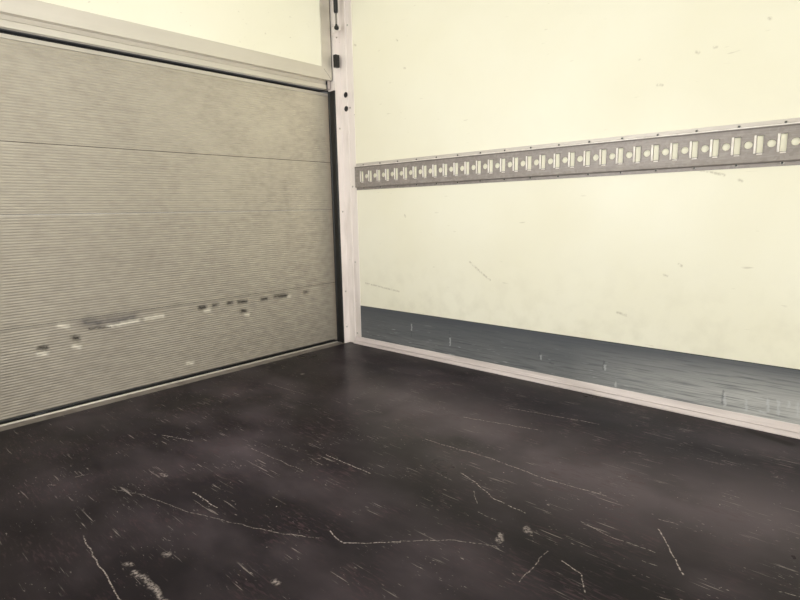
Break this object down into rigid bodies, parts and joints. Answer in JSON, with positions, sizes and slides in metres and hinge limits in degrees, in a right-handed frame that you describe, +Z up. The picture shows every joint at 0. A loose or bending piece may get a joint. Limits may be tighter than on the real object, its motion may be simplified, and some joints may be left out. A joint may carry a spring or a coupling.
{
  "type": "truck box body with tail lift",
  "caption": "Closed box body of a light truck, off its chassis, with panel walls, lashing rails, a plywood floor, a top-hinged rear flap and an upright tail-lift platform",
  "frame": {"origin": "middle of the chassis bolt patterns, on the underside of the long members", "axes": "+X to the body's right-hand side, +Y forward to the front wall, +Z up"},
  "size_m": [2.28, 4.454, 2.8922],
  "materials": {
    "painted_steel_dark": "satin dark grey paint over steel",
    "galvanised_steel": "zinc-coated sheet, dull, scuffed",
    "portal_paint": "light grey paint, chipped at the edges",
    "wall_laminate": "cream glass-fibre laminate, satin, rubbed",
    "roof_laminate": "translucent glass-fibre sheet",
    "aluminium_profile": "mill-finish extrusion",
    "platform_aluminium": "ribbed extrusion, worn and dirty",
    "phenolic_floor": "film-faced plywood, semi-gloss, scratched",
    "rubber": "black rubber",
    "strut_black": "black gloss paint",
    "chrome_rod": "hard chrome, polished",
    "lamp_lens": "red and clear lens"
  },
  "bodies": {
    "box": {"long_members": "painted_steel_dark", "mounting_cleats": "painted_steel_dark", "cross_bearers": "painted_steel_dark", "floor_panel": "phenolic_floor", "wall_left": "wall_laminate", "wall_right": "wall_laminate", "front_wall": "wall_laminate", "roof_sheet": "roof_laminate", "roof_bows": "galvanised_steel", "bottom_rails": "aluminium_profile", "front_bottom_rail": "aluminium_profile", "top_rails": "aluminium_profile", "front_top_rail": "aluminium_profile", "front_corner_posts": "aluminium_profile", "front_corner_caps": "aluminium_profile", "rear_posts": "portal_paint", "rear_header": "portal_paint", "rear_sill": "galvanised_steel", "lashing_rails": "galvanised_steel", "kick_plates": "galvanised_steel", "floor_trims": "portal_paint", "wall_end_strips": "portal_paint", "platform_seals": "rubber", "sill_seal": "rubber", "flap_hinge_blocks": "painted_steel_dark", "post_strut_brackets": "galvanised_steel", "flap_buffers": "rubber", "lift_cross_tube": "painted_steel_dark", "lift_side_plates": "painted_steel_dark", "underrun_bars": "painted_steel_dark", "power_pack": "painted_steel_dark", "tail_lamps": "lamp_lens", "marker_lamps": "lamp_lens"},
    "flap": {"flap_frame": "aluminium_profile", "flap_panel": "wall_laminate", "flap_bottom_profile": "aluminium_profile", "flap_seal": "rubber", "flap_hinge_leaves": "galvanised_steel", "flap_strut_brackets": "galvanised_steel"},
    "strut_barrel_left": {"strut_barrel_left": "strut_black"},
    "strut_rod_left": {"strut_rod_left": "chrome_rod"},
    "strut_barrel_right": {"strut_barrel_right": "strut_black"},
    "strut_rod_right": {"strut_rod_right": "chrome_rod"},
    "lift_arms": {"lift_arms": "painted_steel_dark"},
    "lower_links": {"lower_links": "painted_steel_dark"},
    "knuckles": {"knuckles": "painted_steel_dark", "platform_pins": "chrome_rod"},
    "platform": {"platform_root": "painted_steel_dark", "platform_planks": "platform_aluminium", "platform_side_frames": "aluminium_profile", "platform_tip": "aluminium_profile"},
    "lift_barrels": {"lift_barrels": "painted_steel_dark"},
    "lift_rods": {"lift_rods": "chrome_rod"}
  },
  "joints": [
    {"name": "flap_hinge", "type": "hinge", "parent": "box", "child": "flap", "pos_m": [0, -2.164, 2.319], "axis": [-1, 0, 0], "range_deg": [0, 90]},
    {"name": "strut_left_swing", "type": "hinge", "parent": "flap", "child": "strut_barrel_left", "pos_m": [-1.0365, -2.05, 2.188], "axis": [-1, 0, 0], "range_deg": [-124.96, 0]},
    {"name": "strut_left_stroke", "type": "slide", "parent": "strut_barrel_left", "child": "strut_rod_left", "axis": [0, 0, -1], "range_m": [0, 0.094]},
    {"name": "strut_right_swing", "type": "hinge", "parent": "flap", "child": "strut_barrel_right", "pos_m": [1.0365, -2.05, 2.188], "axis": [-1, 0, 0], "range_deg": [-124.96, 0]},
    {"name": "strut_right_stroke", "type": "slide", "parent": "strut_barrel_right", "child": "strut_rod_right", "axis": [0, 0, -1], "range_m": [0, 0.094]},
    {"name": "lift_arms_hinge", "type": "hinge", "parent": "box", "child": "lift_arms", "pos_m": [0, -1.6, -0.279], "axis": [1, 0, 0], "range_deg": [0, 60]},
    {"name": "lower_links_hinge", "type": "hinge", "parent": "box", "child": "lower_links", "pos_m": [0, -1.6, -0.389], "axis": [1, 0, 0], "range_deg": [0, 60]},
    {"name": "knuckle_hinge", "type": "hinge", "parent": "lift_arms", "child": "knuckles", "pos_m": [0, -2.263, 0.186], "axis": [1, 0, 0], "range_deg": [-60, 0]},
    {"name": "platform_hinge", "type": "hinge", "parent": "knuckles", "child": "platform", "pos_m": [0, -2.263, 0.186], "axis": [1, 0, 0], "range_deg": [0, 100]},
    {"name": "lift_cylinder_swing", "type": "hinge", "parent": "box", "child": "lift_barrels", "pos_m": [0, -1.575, -0.439], "axis": [1, 0, 0], "range_deg": [0, 52.04]},
    {"name": "lift_cylinder_stroke", "type": "slide", "parent": "lift_barrels", "child": "lift_rods", "axis": [0, -0.7434, 0.6688], "range_m": [-0.1482, 0]}
  ],
  "couplings": [
    {"joint": "strut_left_swing", "follows": "flap_hinge", "ratio": -1.3829},
    {"joint": "strut_left_stroke", "follows": "flap_hinge", "m_per_rad": 0.059195},
    {"joint": "strut_right_swing", "follows": "flap_hinge", "ratio": -1.3829},
    {"joint": "strut_right_stroke", "follows": "flap_hinge", "m_per_rad": 0.059195},
    {"joint": "lower_links_hinge", "follows": "lift_arms_hinge", "ratio": 1},
    {"joint": "knuckle_hinge", "follows": "lift_arms_hinge", "ratio": -1},
    {"joint": "lift_cylinder_swing", "follows": "lift_arms_hinge", "ratio": 0.86405},
    {"joint": "lift_cylinder_stroke", "follows": "lift_arms_hinge", "m_per_rad": -0.14058}
  ]
}
